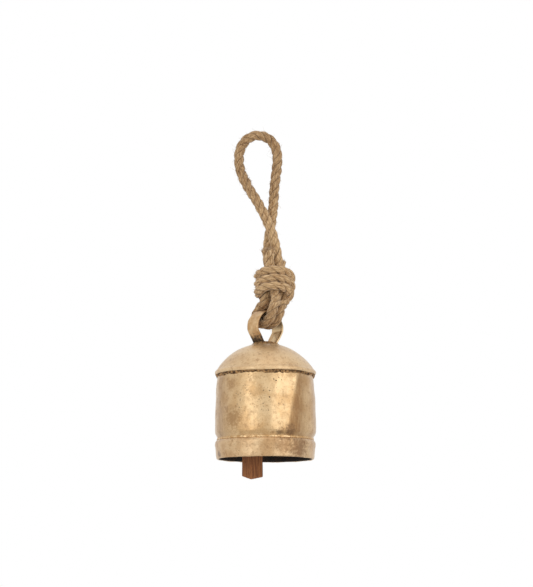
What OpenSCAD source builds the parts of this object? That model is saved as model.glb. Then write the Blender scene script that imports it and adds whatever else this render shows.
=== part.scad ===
// A hand-made sheet-metal bell that hangs on a knotted jute rope.
// The origin is the inside of the rope's top loop, where a hook carries it.
// +Z is up, +X is to the right, and +Y points away from the front.

/* [Bell] */
// Radius of the body at its widest, below the middle
body_r = 50; // [49.5:0.1:50.5]
// Thickness of the body's sheet
body_wall = 1.2; // [0.8:0.1:1.6]
// Radius of the waist above the rim band
waist_r = 47.4; // [47:0.1:48]
// Radius of the sphere that the crown is dished to
crown_r = 56.5; // [56:0.1:57]
// Thickness of the crown's sheet
crown_wall = 1.4; // [1:0.1:1.8]
// Radius of the crown's turned-down lip
lip_r = 50.2; // [49.8:0.1:51]
// Radius of the rim band at its upper roll
band_r = 49.7; // [49.2:0.1:50.4]
// Distance from the strap eye's centre down to the rim
rim_drop = 129.7; // [128:0.1:132]

/* [Strap handle] */
// Inner radius of the strap's arch
strap_inner_r = 16.5; // [16.5:0.1:16.8]
// Thickness of the strap
strap_thick = 2; // [1.5:0.1:2.2]
// Width of the strap
strap_w = 15.5; // [14:0.1:15.5]
// Turn of the strap about the bell's axis
strap_turn = 45; // [44:1:46]

/* [Clapper] */
// Side of the square clapper
clapper_side = 15; // [14:0.1:15.5]
// Thickness of the wire of the clapper's link
link_wire = 2.5; // [2:0.1:2.5]
// Thickness of the wire of the staple that holds the link
staple_wire = 3; // [2.5:0.1:3]

/* [Rope] */
// Thickness of the rope
rope_d = 10; // [9:0.1:10]
// Outside radius of the knot
knot_r = 20.8; // [20:0.1:22]

/* [Hidden] */
$fn = 72;

// --- Places. The bell is drawn about its strap eye's centre. ---
eye = [5.7, 0, -192.5];
knot = [15, 5, 0];
knot_top = -128;
knot_pivot = -142;
knot_under_r = 20;

// Directions level with the ground: through the strap's eye, and along the strap
through = [sin(strap_turn), -cos(strap_turn), 0];
along = [cos(strap_turn), sin(strap_turn), 0];

// --- Heights on the bell, from the eye's centre down ---
crown_top = -14.2;
crown_base = -41.4;
lip_bottom = -45.9;
body_top = -42.6;
bulge_z = -92;
bulge_drop = 47;
bulge_inset = 2.6;
shoulder_z = -103;
waist_z = -109.4;
rim_z = -rim_drop;
skirt_r = waist_r - 0.2;

// --- Clapper ---
// It hangs to the left of the bell's axis, with a corner to the front
clapper_place = [-12.7, 0, 0];
clapper_turn = 38.5;
staple_z = -30;
staple_bend_r = 6;
link_drop = 20;
link_bend_r = 3.1;
link_half_w = 9.9;
link_hole_d = link_wire + 0.6;
clapper_top = 6;
clapper_end = -96.5;
clapper_slant = 18.3;

// --- Routes of the rope, one row of points each ---
loop_route = [
    [18.5, -1, -131], [18, -3, -121], [15.7, -4.8, -109], [12.5, -5.8, -97], [8.5, -5.8, -86],
    [2.5, -4.8, -73], [-4, -3, -61], [-12.5, -1.5, -47], [-18.5, -0.5, -34], [-21, 0, -22],
    [-20, 0, -9.5], [-14, 0, 0.5], [-6, 0, 5], [1, 0, 5.2], [9.5, 0, 1.8],
    [15.5, 0, -6], [18, 0, -17], [17, 0.5, -30], [15, 1.5, -47], [14, 3, -61],
    [13, 4.8, -73], [11.5, 5.6, -84], [10, 5.8, -94], [8.5, 6, -105], [7.5, 7, -115],
    [8.5, 8, -124], [9.5, 8.5, -131]];
tail_front_route = [[10.3, -5.3, -131], [9.4, -8.8, -121], [8.4, -10.5, -114]];
tail_side_route = [[20.5, 9.5, -131], [20.5, 9.8, -127], [20, 10, -123]];

// One strand's way under the strap, in front and behind: distance through the eye,
// shift along the strap, height
bight_front = [[12.3, 1.5, 25.3], [13.4, -2.8, 19.2], [12.3, -4.6, 11.6], [7.6, -5.1, 7.1]];
bight_back = [[12.3, 6.5, 25.3], [13.4, 3, 19.2], [12.3, -2.5, 11.6], [7.6, -5.1, 7.1]];
bight_bottom = [0, -5.1, 5.1];
port_through = 7;
port_along = 5.1;
port_gap = 1.5;
port_lead = 3.5;

// --- Functions ---
function unit(v) = v / norm(v);

// Outer radius of the body's bulged wall at a height
function wall_r(z) = body_r - bulge_inset * pow((z - bulge_z) / bulge_drop, 2);

// Outer radius of the shoulder that rolls in from the bulge to the waist
function shoulder_r(u) = waist_r + (wall_r(shoulder_z) - waist_r) * (1 + cos(180 * u)) / 2;

// Points on an arc
function arc(c, r, a0, a1, n) = [
    for (i = [0:n])
        c + r * [cos(a0 + (a1 - a0) * i / n), sin(a0 + (a1 - a0) * i / n)]
];

// A smooth curve through a row of points
function curve_at(p, i, u) =
    let (a = p[i],
         b = p[i + 1],
         m0 = (p[i + 1] - p[max(i - 1, 0)]) / 2,
         m1 = (p[min(i + 2, len(p) - 1)] - p[i]) / 2)
    a * (2 * u * u * u - 3 * u * u + 1) + m0 * (u * u * u - 2 * u * u + u)
    + b * (3 * u * u - 2 * u * u * u) + m1 * (u * u * u - u * u);
function curve(p, n) = [for (i = [0:len(p) - 2]) for (k = [0:n - 1]) curve_at(p, i, k / n), p[len(p) - 1]];

// Direction of a row of points, and a side direction that is carried along it untwisted
function heading(p, i) = unit(p[min(i + 1, len(p) - 1)] - p[max(i - 1, 0)]);
function squared(v, t) = unit(v - (v * t) * t);
function sides_of(p) =
    [for (i = 0, s = squared([0.2, 1, 0.3], heading(p, 0)); i < len(p);
          i = i + 1, s = squared(s, heading(p, min(i, len(p) - 1)))) s];

// --- Shapes that repeat ---
// A round rope or wire along a row of points
module tube(p, d, sides) {
    s = sides_of(p);
    n = len(p);
    rings = [for (i = [0:n - 1]) for (k = [0:sides - 1])
        let (t = heading(p, i), a = 360 * k / sides)
        p[i] + d / 2 * (cos(a) * s[i] + sin(a) * cross(t, s[i]))];
    walls = [for (i = [0:n - 2]) for (k = [0:sides - 1])
        let (a = i * sides + k, b = i * sides + (k + 1) % sides)
        each [[a, a + sides, b], [b, a + sides, b + sides]]];
    first_cap = [for (k = [1:sides - 2]) [0, k, k + 1]];
    base = (n - 1) * sides;
    last_cap = [for (k = [1:sides - 2]) [base, base + k + 1, base + k]];
    polyhedron(points = rings, faces = concat(walls, first_cap, last_cap));
}

// A closed loop of round wire along an outline in the XZ plane
module wire_loop(outline, d, sides) {
    n = len(outline);
    rings = [for (i = [0:n - 1]) for (k = [0:sides - 1])
        let (t = unit(outline[(i + 1) % n] - outline[(i + n - 1) % n]),
             a = 360 * k / sides,
             out = outline[i] + d / 2 * cos(a) * [t[1], -t[0]])
        [out[0], d / 2 * sin(a), out[1]]];
    walls = [for (i = [0:n - 1]) for (k = [0:sides - 1])
        let (a = i * sides + k,
             b = i * sides + (k + 1) % sides,
             c = ((i + 1) % n) * sides + k,
             e = ((i + 1) % n) * sides + (k + 1) % sides)
        each [[a, c, b], [b, c, e]]];
    polyhedron(points = rings, faces = walls);
}

// A bent piece of wire, lying in the XZ plane about the origin
module wire_bend(r, d, from, to) {
    rotate([90, 0, 0])
        rotate([0, 0, from])
            rotate_extrude(angle = to - from)
                translate([r, 0])
                    circle(d / 2);
}

module at_eye() {
    translate(eye)
        children();
}

module at_clapper() {
    at_eye()
        translate(clapper_place)
            rotate([0, 0, clapper_turn])
                children();
}

// --- Rope ---
module rope_loop() {
    color("tan")
        tube(curve(loop_route, 2), rope_d, 10);
}

// The knot's outer shape, with an underside that is part of a sphere about the pivot
module rope_knot() {
    top_round = 9;
    low_round = 5;
    low_z = -149;
    under_edge = knot_r - low_round;
    edge_angle = acos(under_edge / knot_under_r);
    outline = concat(
        [[0, knot_top]],
        arc([knot_r - top_round, knot_top - top_round], top_round, 90, 0, 8),
        arc([knot_r - low_round, low_z], low_round, 0, -80, 8),
        arc([0, knot_pivot], knot_under_r, -edge_angle, -90, 10));
    color("tan")
        translate(knot)
            rotate_extrude()
                polygon(outline);
}

module rope_tail_front() {
    color("tan")
        tube(curve(tail_front_route, 2), rope_d, 10);
}

module rope_tail_side() {
    color("tan")
        tube(curve(tail_side_route, 2), rope_d, 10);
}

// A point of a bight: side is 1 in front and -1 behind, lane is -1 near and 1 far
function bight_point(h, side, lane) =
    eye + side * h[0] * through + (h[1] + (lane + 1) * port_along) * along + [0, 0, h[2]];
function port_at(side, lane, extra) =
    let (flat = side * port_through * through + lane * port_along * along,
         down = sqrt(knot_under_r * knot_under_r - flat * flat))
    knot + [0, 0, knot_pivot]
    + (knot_under_r + port_gap + extra) * unit(flat - [0, 0, down]);
function bight_route(lane) = concat(
    [port_at(1, lane, 0), port_at(1, lane, port_lead)],
    [for (h = bight_front) bight_point(h, 1, lane)],
    [bight_point(bight_bottom, 1, lane)],
    [for (i = [len(bight_back) - 1:-1:0]) bight_point(bight_back[i], -1, lane)],
    [port_at(-1, lane, port_lead), port_at(-1, lane, 0)]);

module rope_bight_near() {
    color("tan")
        tube(curve(bight_route(-1), 2), rope_d, 10);
}

module rope_bight_far() {
    color("tan")
        tube(curve(bight_route(1), 2), rope_d, 10);
}

// --- Strap handle ---
// One strip: a half-round arch, two legs that run in to the crown, and feet that
// pass through slots in the crown and are turned out flat beneath it.
// All angles are in the strip's own upright plane.
strap_mid_r = strap_inner_r + strap_thick / 2;
hip_bend_r = 5;
leg_lean = 34;
leg_length = 15.8;
foot_bend_r = 1.6;
foot_dip = 15;
foot_length = 7;
hip = [strap_mid_r - hip_bend_r, 0];
leg_top = hip + hip_bend_r * [cos(leg_lean), -sin(leg_lean)];
leg_end = leg_top - leg_length * [sin(leg_lean), cos(leg_lean)];
ankle = leg_end + foot_bend_r * [cos(leg_lean), -sin(leg_lean)];
foot_start = ankle - foot_bend_r * [sin(foot_dip), cos(foot_dip)];

// A straight stretch of the strip, which laps a little into the bends at its ends
module straight(from, angle, long, room) {
    lap = 0.3;
    translate(from)
        rotate(angle)
            translate([-lap, -strap_thick / 2 - room])
                square([long + 2 * lap, strap_thick + 2 * room]);
}

// A bent stretch of the strip, from one angle round to another
module bent(centre, r, from, to) {
    wedge = [for (i = [0:8]) let (a = to + (360 + from - to) * i / 8) 4 * r * [cos(a), sin(a)]];
    translate(centre)
        difference() {
            circle(r + strap_thick / 2);
            circle(r - strap_thick / 2);
            polygon(concat([[0, 0]], wedge));
        }
}

// Stands an outline of the strip up in its place and gives it the strip's width
module strap_width(room) {
    rotate([0, 0, strap_turn])
        rotate([90, 0, 0])
            translate([0, 0, -strap_w / 2 - room])
                linear_extrude(strap_w + 2 * room)
                    children();
}

module strap_handle() {
    color("darkkhaki")
        at_eye()
            strap_width(0) {
                bent([0, 0], strap_mid_r, 0, 180);
                for (side = [0, 1])
                    mirror([side, 0]) {
                        straight([strap_mid_r, 0], -90, 0, 0);
                        bent(hip, hip_bend_r, -leg_lean, 0);
                        straight(leg_top, -90 - leg_lean, leg_length, 0);
                        bent(ankle, foot_bend_r, 180 - leg_lean, 270 - foot_dip);
                        straight(foot_start, -foot_dip, foot_length, 0);
                    }
            }
}

// The room that the strap's legs take where they pass through a sheet
module foot_slots(room) {
    strap_width(room)
        for (side = [0, 1])
            mirror([side, 0])
                straight(leg_top, -90 - leg_lean, leg_length + 1, room);
}

// The brazed mound about the strap's feet
module handle_braze() {
    mound_r = 13.6;
    mound_top = 0.9;
    edge_angle = acos(mound_r / crown_r);
    edge_z = crown_top - crown_r + crown_r * sin(edge_angle);
    color("peru")
        at_eye()
            difference() {
                rotate_extrude()
                    polygon(concat(
                        [[0, crown_top + mound_top], [mound_r - 1.5, crown_top + mound_top - 0.4],
                         [mound_r - 0.4, edge_z + 1.2], [mound_r, edge_z]],
                        arc([0, crown_top - crown_r], crown_r, edge_angle, 90, 8)));
                foot_slots(0.02);
            }
}

// --- Crown ---
module crown_dome() {
    centre = [0, crown_top - crown_r];
    inner_r = crown_r - crown_wall;
    outer_edge = 47.6;
    inner_edge = 46.4;
    color("goldenrod")
        at_eye()
            difference() {
                rotate_extrude($fn = 96)
                    polygon(concat(
                        arc(centre, crown_r, 90, acos(outer_edge / crown_r), 24),
                        [[lip_r - 0.7, crown_base - 0.6], [lip_r - 0.1, crown_base - 1.4],
                         [lip_r, crown_base - 2.6], [lip_r - 0.3, lip_bottom + 0.5],
                         [lip_r - 0.9, lip_bottom], [lip_r - 1.9, lip_bottom + 0.1],
                         [lip_r - 2.1, lip_bottom + 1], [lip_r - 2.2, body_top + 0.2],
                         [inner_edge, body_top + 0.2]],
                        arc(centre, inner_r, acos(inner_edge / inner_r), 90, 24)));
                foot_slots(0.05);
            }
}

// The rough line of braze under the lip
module crown_braze() {
    braze_low = -49.3;
    braze_full = -47.5;
    color("saddlebrown")
        at_eye()
            rotate_extrude($fn = 96)
                polygon([[wall_r(lip_bottom) - 0.1, lip_bottom], [lip_r - 1, lip_bottom],
                         [wall_r(braze_full) + 0.9, braze_full], [wall_r(braze_low) + 0.1, braze_low],
                         [wall_r(braze_low) - 0.1, braze_low]]);
}

// --- Body ---
function body_outline() = concat(
    [for (i = [0:24]) let (z = body_top + (shoulder_z - body_top) * i / 24) [wall_r(z), z]],
    [for (i = [1:8]) [shoulder_r(i / 8), shoulder_z + (waist_z - shoulder_z) * i / 8]],
    [[skirt_r, waist_z - 0.8], [skirt_r, rim_z]]);

module body_shell() {
    outer = body_outline();
    n = len(outer);
    inner = [for (i = [n - 1:-1:0]) outer[i] - [body_wall, 0]];
    color("goldenrod")
        at_eye()
            rotate_extrude($fn = 96)
                polygon(concat(outer, inner));
}

// The braze that fills the groove over the band
module rim_braze() {
    color("saddlebrown")
        at_eye()
            rotate_extrude($fn = 96)
                polygon([[waist_r - 0.1, waist_z + 0.6], [waist_r + 0.6, waist_z - 0.2],
                         [skirt_r + 0.7, waist_z - 1.4], [skirt_r - 0.1, waist_z - 1.4]]);
}

// The hoop around the mouth, rolled out at its top edge
module rim_band() {
    top = waist_z - 1.4;
    color("goldenrod")
        at_eye()
            rotate_extrude($fn = 96)
                polygon([[skirt_r, top], [skirt_r + 0.7, top], [band_r - 0.5, -112.8],
                         [band_r - 0.1, -114], [band_r, -115.5], [band_r - 0.1, -117.2],
                         [band_r - 0.5, -119.2], [band_r - 0.8, -122.4], [band_r - 1.2, -126.4],
                         [band_r - 1.7, rim_z + 0.4], [band_r - 2, rim_z], [skirt_r, rim_z]]);
}

// --- Clapper ---
// The hollow under the crown, down to a little below its inner face
module under_crown(bite) {
    rotate([0, 0, -clapper_turn])
        translate([0, 0, crown_top - crown_r] - clapper_place)
            sphere(crown_r - crown_wall + bite, $fn = 144);
}

// A staple of wire under the crown
module clapper_staple() {
    leg_base = staple_z + staple_bend_r;
    color("dimgray")
        at_clapper()
            intersection() {
                union() {
                    translate([0, 0, leg_base])
                        wire_bend(staple_bend_r, staple_wire, 180, 360);
                    for (side = [-1, 1])
                        translate([side * staple_bend_r, 0, leg_base])
                            cylinder(d = staple_wire, h = 12);
                }
                under_crown(0.5);
            }
}

// The braze about each leg of the staple, which meets the crown lower at the outer leg
module staple_braze() {
    collar_h = 5;
    collar_z = [-20.6, -18.6];
    color("saddlebrown")
        at_clapper()
            intersection() {
                for (leg = [0, 1])
                    translate([(2 * leg - 1) * staple_bend_r, 0, collar_z[leg]])
                        difference() {
                            cylinder(h = collar_h, r1 = staple_wire / 2 + 0.2, r2 = staple_wire / 2 + 3.5);
                            translate([0, 0, -1])
                                cylinder(d = staple_wire, h = collar_h + 2);
                        }
                under_crown(0.1);
            }
}

// A closed link of wire: it hangs on the staple and its straight side carries the clapper
module clapper_link() {
    reach = link_half_w - link_bend_r;
    low = link_bend_r - link_drop;
    lean = atan(reach / (link_drop - link_bend_r));
    outline = concat(
        arc([0, 0], link_bend_r, lean, 180 - lean, 8),
        arc([-reach, low], link_bend_r, 180 - lean, 270, 6),
        arc([reach, low], link_bend_r, -90, lean, 6));
    color("dimgray")
        at_clapper()
            translate([0, 0, staple_z])
                rotate([0, 0, 90])
                    wire_loop(outline, link_wire, 12);
}

// A square stick, drilled across near its top and sawn off aslant, lowest at the front
module clapper() {
    half = clapper_side / 2;
    shave = 3 * sqrt(2);
    spare = 10;
    cut = 40;
    color("sienna")
        at_clapper()
            translate([0, 0, staple_z - link_drop])
                difference() {
                    translate([-half, -half, clapper_end - spare])
                        cube([clapper_side, clapper_side, clapper_top - clapper_end + spare]);
                    rotate([90, 0, 0])
                        translate([0, 0, -clapper_side])
                            cylinder(d = link_hole_d, h = 2 * clapper_side);
                    for (side = [-1, 1])
                        translate([0, side * half, clapper_top])
                            rotate([45, 0, 0])
                                cube([2 * clapper_side, shave, shave], center = true);
                    rotate([0, 0, -clapper_turn])
                        translate([0, 0, clapper_end])
                            rotate([clapper_slant, 0, 0])
                                translate([0, 0, -cut / 2])
                                    cube(cut, center = true);
                }
}

rope_loop();
rope_knot();
rope_tail_front();
rope_tail_side();
rope_bight_near();
rope_bight_far();
strap_handle();
handle_braze();
crown_dome();
crown_braze();
body_shell();
rim_braze();
rim_band();
clapper_staple();
staple_braze();
clapper_link();
clapper();
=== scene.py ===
"""Looks of a hand-made sheet-metal bell on a knotted jute rope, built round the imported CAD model."""
import math

import bmesh
import bpy
import numpy as np
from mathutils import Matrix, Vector


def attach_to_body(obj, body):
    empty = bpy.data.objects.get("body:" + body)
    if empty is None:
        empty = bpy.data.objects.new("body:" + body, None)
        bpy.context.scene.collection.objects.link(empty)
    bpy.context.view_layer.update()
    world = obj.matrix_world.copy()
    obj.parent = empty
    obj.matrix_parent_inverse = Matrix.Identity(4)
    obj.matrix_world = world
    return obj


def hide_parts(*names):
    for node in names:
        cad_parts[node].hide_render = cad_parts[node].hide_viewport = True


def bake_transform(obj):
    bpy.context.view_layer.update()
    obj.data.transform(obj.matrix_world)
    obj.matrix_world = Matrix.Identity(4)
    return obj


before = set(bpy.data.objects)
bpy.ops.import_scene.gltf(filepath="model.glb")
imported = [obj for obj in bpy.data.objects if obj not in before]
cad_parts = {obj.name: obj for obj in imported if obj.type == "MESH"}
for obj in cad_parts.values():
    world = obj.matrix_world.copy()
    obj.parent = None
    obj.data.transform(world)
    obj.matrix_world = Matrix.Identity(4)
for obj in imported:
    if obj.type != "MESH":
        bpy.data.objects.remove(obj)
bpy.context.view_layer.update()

# Shapes are worked out in millimetres, in the CAD frame, and turned to metres when a mesh is made.
MM = 0.001


def new_object(name, data):
    thing = bpy.data.objects.new(name, data)
    bpy.context.scene.collection.objects.link(thing)
    return thing


# ---- camera
CAMERA_AIM = Vector((6.8, 0, -156.4)) * MM
CAMERA_DISTANCE = 1.95  # metres
CAMERA_TILT = 8.7  # degrees that it looks up
CAMERA_LENS = 119.6


def make_camera():
    camera = new_object("camera", bpy.data.cameras.new("camera"))
    tilt = math.radians(CAMERA_TILT)
    camera.location = CAMERA_AIM - CAMERA_DISTANCE * Vector((0, math.cos(tilt), math.sin(tilt)))
    camera.rotation_euler = (math.radians(90) + tilt, 0, 0)
    camera.data.lens = CAMERA_LENS
    camera.data.sensor_width = 36
    bpy.context.scene.camera = camera


# ---- curves and noise
def unit(v):
    v = np.asarray(v, float)
    return v / np.linalg.norm(v, axis=-1, keepdims=True)


def arc(centre, radius, start, end, count):
    """Points on an arc in a plane, by angles in degrees."""
    angles = np.radians(np.linspace(start, end, count))
    return np.stack([centre[0] + radius * np.cos(angles), centre[1] + radius * np.sin(angles)], 1)


def through_points(points, per_piece):
    """The same smooth curve through a row of points that the CAD tubes follow."""
    p = np.asarray(points, float)
    u = np.linspace(0, 1, per_piece, endpoint=False)[:, None]
    pieces = []
    for i in range(len(p) - 1):
        a, b = p[i], p[i + 1]
        leave = (b - p[max(i - 1, 0)]) / 2
        arrive = (p[min(i + 2, len(p) - 1)] - a) / 2
        pieces.append(a * (2 * u**3 - 3 * u**2 + 1) + leave * (u**3 - 2 * u**2 + u)
                      + b * (3 * u**2 - 2 * u**3) + arrive * (u**3 - u**2))
    return np.vstack([*pieces, p[-1:]])


def distances(line):
    """How far along a line each of its points lies."""
    return np.concatenate([[0], np.cumsum(np.linalg.norm(np.diff(line, axis=0), axis=1))])


def evenly(line, step, closed=False):
    """A line again, with its points about step apart."""
    line = np.asarray(line, float)
    if closed:
        line = np.vstack([line, line[:1]])
    passed = distances(line)
    at = np.linspace(0, passed[-1], max(4, round(passed[-1] / step)) + 1)
    spaced = np.stack([np.interp(at, passed, line[:, k]) for k in range(line.shape[1])], 1)
    return spaced[:-1] if closed else spaced


def softened(line, passes, closed=False):
    """A line with its corners rounded off; an open line's ends stay."""
    line = np.array(line, float)
    for _ in range(passes):
        mean = (np.roll(line, 1, 0) + 2 * line + np.roll(line, -1, 0)) / 4
        if not closed:
            mean[[0, -1]] = line[[0, -1]]
        line = mean
    return line


def carried_sides(line):
    """A line's headings, and two side directions that are carried along it untwisted."""
    heading = unit(np.gradient(line, axis=0))
    side = np.zeros_like(heading)
    last = np.array([0.2, 1, 0.3])
    for i, h in enumerate(heading):
        last = unit(last - (last @ h) * h)
        side[i] = last
    return heading, side, np.cross(heading, side)


def ripple(points, size, seed):
    """Smooth seeded noise of about -1 to 1 that changes over a distance of about size."""
    waves = 18
    draw = np.random.default_rng(seed)
    ways = unit(draw.normal(size=(waves, 3))) * draw.uniform(0.6, 1.3, (waves, 1)) * 2 * math.pi / size
    total = np.zeros(points.shape[:-1])
    for way, shift in zip(ways, draw.uniform(0, 2 * math.pi, waves)):
        total += np.cos(points @ way + shift)
    return total / math.sqrt(waves / 2) / 2


def ripples(points, *layers):
    """Several ripples on top of each other, each given by its height, size and seed."""
    return sum(height * ripple(points, size, seed) for height, size, seed in layers)


def smooth_step(low, high, value):
    t = np.clip((value - low) / (high - low), 0, 1)
    return t * t * (3 - 2 * t)


# ---- meshes
def new_piece(name, points, faces, materials, face_material=None, attributes=None):
    """A shaded mesh object from points in millimetres."""
    mesh = bpy.data.meshes.new(name)
    mesh.from_pydata((np.asarray(points) * MM).tolist(), [], [tuple(f) for f in faces])
    for key, values in (attributes or {}).items():
        kind, field = ("FLOAT", "value") if values.ndim == 1 else ("FLOAT_VECTOR", "vector")
        attribute = mesh.attributes.new(key, kind, "POINT")
        attribute.data.foreach_set(field, values.astype(np.float32).ravel())
    for material in materials:
        mesh.materials.append(material)
    if face_material is not None:
        mesh.polygons.foreach_set("material_index", np.asarray(face_material, np.int32))
    work = bmesh.new()
    work.from_mesh(mesh)
    bmesh.ops.remove_doubles(work, verts=work.verts, dist=1e-7)
    bmesh.ops.delete(work, geom=[e for e in work.edges if not e.link_faces], context="EDGES")
    bmesh.ops.recalc_face_normals(work, faces=work.faces)
    work.to_mesh(mesh)
    work.free()
    mesh.shade_smooth()
    return new_object(name, mesh)


def ring_faces(rows, around, looped=False, start=0):
    """Quads between rows of closed rings."""
    i = np.arange(rows if looped else rows - 1)[:, None]
    k = np.arange(around)[None, :]
    a, b = start + i * around, start + ((i + 1) % rows) * around
    nxt = (k + 1) % around
    return np.stack([a + k, a + nxt, b + nxt, b + k], -1).reshape(-1, 4)


def tube(rings, start=0):
    """Points and faces of a tube through rings, closed at both ends by fans."""
    rows, around, _ = rings.shape
    points = np.vstack([rings.reshape(-1, 3), rings[0].mean(0), rings[-1].mean(0)])
    faces = ring_faces(rows, around, start=start).tolist()
    first, last = start + rows * around, start + rows * around + 1
    top = start + (rows - 1) * around
    for k in range(around):
        faces.append((first, start + (k + 1) % around, start + k))
        faces.append((last, top + k, top + (k + 1) % around))
    return points, faces


def lathe(outline, segments, radial=None, lift=None):
    """Rings round the bell's axis: a closed outline of radius and height, pushed out and lifted unevenly."""
    angle = np.linspace(0, 2 * math.pi, segments, endpoint=False)[:, None]
    radius, height = outline[None, :, 0], outline[None, :, 1]
    r = radius + (radial(angle, radius, height) if radial else 0)
    z = height + (lift(angle, radius, height) if lift else 0)
    return np.stack([r * np.sin(angle), -r * np.cos(angle), z + 0 * angle], -1)


def on_cylinder(angle, radius, height):
    """Places for ripples that move round the bell with the angle and height."""
    return np.stack(np.broadcast_arrays(radius * np.sin(angle), -radius * np.cos(angle), height), -1)


def attach(piece, body, slot, *nodes):
    """The piece stands for these CAD nodes, which it hides, and moves with their body. The slot is not used.
    """
    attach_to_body(piece, body)
    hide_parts(*nodes)


# ---- materials
def paint(red, green, blue):
    """A colour given in 8-bit sRGB, as a shader takes it."""
    linear = [c / 12.92 if c <= 0.04045 else ((c + 0.055) / 1.055) ** 2.4
              for c in (red / 255, green / 255, blue / 255)]
    return (*linear, 1)


class Nodes:
    """The node tree of a material or a world, whose nodes are added one at a time."""

    def __init__(self, owner):
        owner.use_nodes = True
        self.tree = owner.node_tree
        self.tree.nodes.clear()

    def add(self, kind, inputs=None, **settings):
        """A node with its settings, and with values or other nodes' outputs in its inputs."""
        node = self.tree.nodes.new("ShaderNode" + kind)
        for key, value in settings.items():
            setattr(node, key, value)
        for key, value in (inputs or {}).items():
            if isinstance(value, bpy.types.NodeSocket):
                self.tree.links.new(value, node.inputs[key])
            else:
                node.inputs[key].default_value = value
        return node


class Shader(Nodes):
    """A material, and short names for the nodes that it is made of."""

    def __init__(self, name):
        self.material = bpy.data.materials.new(name)
        super().__init__(self.material)
        self.place = self.add("TexCoord").outputs["Object"]

    def attribute(self, name, output="Vector"):
        return self.add("Attribute", attribute_name=name).outputs[output]

    def noise(self, size, detail=3, roughness=0.5, place=None):
        """Soft noise with lumps of about size millimetres, or of size units of another place."""
        scale = 1 / size if place else 1 / (size * MM)
        return self.add("TexNoise", {"Vector": place or self.place, "Scale": scale, "Detail": detail,
                                     "Roughness": roughness}).outputs[0]

    def stretched_noise(self, scale, place=None, **kind):
        """Noise whose lumps are drawn out, by a scale along each axis."""
        grid = self.add("Mapping", {"Vector": place or self.place, "Scale": scale}).outputs[0]
        return self.noise(1, place=grid, **kind)

    def streaks(self, across, length, **kind):
        """Noise drawn out along the upright, by the width and length of its lumps in millimetres."""
        return self.stretched_noise([1 / (size * MM) for size in (across, across, length)], **kind)

    def shaken_cells(self, size, reach, shake_size):
        """Cells of about size millimetres, pushed out of line by up to that reach: distance and colour."""
        shake = self.add("TexNoise", {"Vector": self.place, "Scale": 1 / (shake_size * MM)}).outputs["Color"]
        push = self.add("VectorMath", {"Vector": shake, "Scale": reach * MM}, operation="SCALE").outputs[0]
        node = self.add("TexVoronoi", {"Vector": self.vector("ADD", self.place, push).outputs[0],
                                       "Scale": 1 / (size * MM)})
        return node.outputs["Distance"], node.outputs["Color"]

    def near(self, point, reach):
        """1 at a point of the object in millimetres, falling to 0 at that reach."""
        away = self.vector("DISTANCE", self.place, [c * MM for c in point]).outputs["Value"]
        return self.ramp(away, (0, reach * MM), (1, 0))

    def parts(self):
        """The object coordinates X, Y and Z on their own, in metres."""
        return self.add("SeparateXYZ", {"Vector": self.place}).outputs

    def vector(self, operation, a, b):
        return self.add("VectorMath", {0: a, 1: b}, operation=operation)

    def ramp(self, value, span, heights=(0, 1)):
        """Maps a value smoothly from the ends of a span to two heights."""
        return self.add("MapRange", {"Value": value, "From Min": span[0], "From Max": span[1],
                                     "To Min": heights[0], "To Max": heights[1]},
                        interpolation_type="SMOOTHSTEP").outputs[0]

    def math(self, operation, a, b=0.0):
        return self.add("Math", {0: a, 1: b}, operation=operation).outputs[0]

    def times(self, *factors):
        product = factors[0]
        for factor in factors[1:]:
            product = self.math("MULTIPLY", product, factor)
        return product

    def mix(self, share, a, b, blend="MIX"):
        """Colour a turned into colour b by a share; the numbers are the colour sockets of the Mix node."""
        return self.add("Mix", {0: share, 6: a, 7: b}, data_type="RGBA", blend_type=blend).outputs[2]

    def bump(self, height, depth, strength=1.0, under=None):
        inputs = {"Height": height, "Distance": depth * MM, "Strength": strength}
        if under:
            inputs["Normal"] = under
        return self.add("Bump", inputs).outputs[0]

    def finish(self, colour, roughness, metallic=0.0, normal=None, **fixed):
        inputs = {"Base Color": colour, "Roughness": roughness, "Metallic": metallic}
        if normal:
            inputs["Normal"] = normal
        inputs.update({key.replace("_", " "): value for key, value in fixed.items()})
        surface = self.add("BsdfPrincipled", inputs).outputs[0]
        self.add("OutputMaterial", {"Surface": surface})
        return self.material


def jute():
    """Strands of tan fibre, with painted shade in the grooves, from the coordinates that the rope mesh
    carries.
    """
    s = Shader("jute")
    fibre = s.attribute("fibre")
    depth = s.attribute("hollow", "Fac")

    def along(across, lengthways, **kind):
        return s.stretched_noise((across, across, lengthways), fibre, **kind)

    streak = along(4, 0.3, detail=4, roughness=0.65)
    coarse = along(1.5, 0.13, detail=3, roughness=0.6)
    blotch = along(0.5, 0.12, detail=3)
    colour = s.mix(s.ramp(streak, (0.36, 0.64)), paint(138, 99, 61), paint(236, 201, 152))
    colour = s.mix(s.ramp(coarse, (0.46, 0.32), (0, 0.75)), colour, paint(104, 70, 40))
    colour = s.mix(s.ramp(coarse, (0.54, 0.68), (0, 0.75)), colour, paint(244, 214, 170))
    colour = s.mix(s.ramp(blotch, (0.45, 0.75), (0, 0.45)), colour, paint(156, 110, 66))
    dark_fibre = along(6, 0.2, detail=2)
    colour = s.mix(s.ramp(dark_fibre, (0.6, 0.72), (0, 0.75)), colour, paint(88, 60, 36))
    # Painted shade in the grooves between the strands, where the strand's surface lies close to the rope's
    # middle.
    colour = s.mix(s.ramp(depth, (0.88, 0.62)), colour, paint(86, 59, 36))
    # Darker towards the loop's top, and painted shade below the knot, where the rope runs under the wraps and
    # down into the strap.
    height = s.parts()[2]
    darker_top_and_shaded_foot = s.math("MAXIMUM", s.ramp(height, (-85 * MM, -45 * MM), (0, 0.3)),
                     s.ramp(height, (-155 * MM, -178 * MM), (0, 0.32)))
    colour = s.mix(darker_top_and_shaded_foot, colour, paint(140, 110, 80), "MULTIPLY")
    return s.finish(colour, 0.9, normal=s.bump(streak, 0.5, 0.7), Specular_IOR_Level=0.15,
                    Sheen_Weight=0.25, Sheen_Roughness=0.5)


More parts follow.
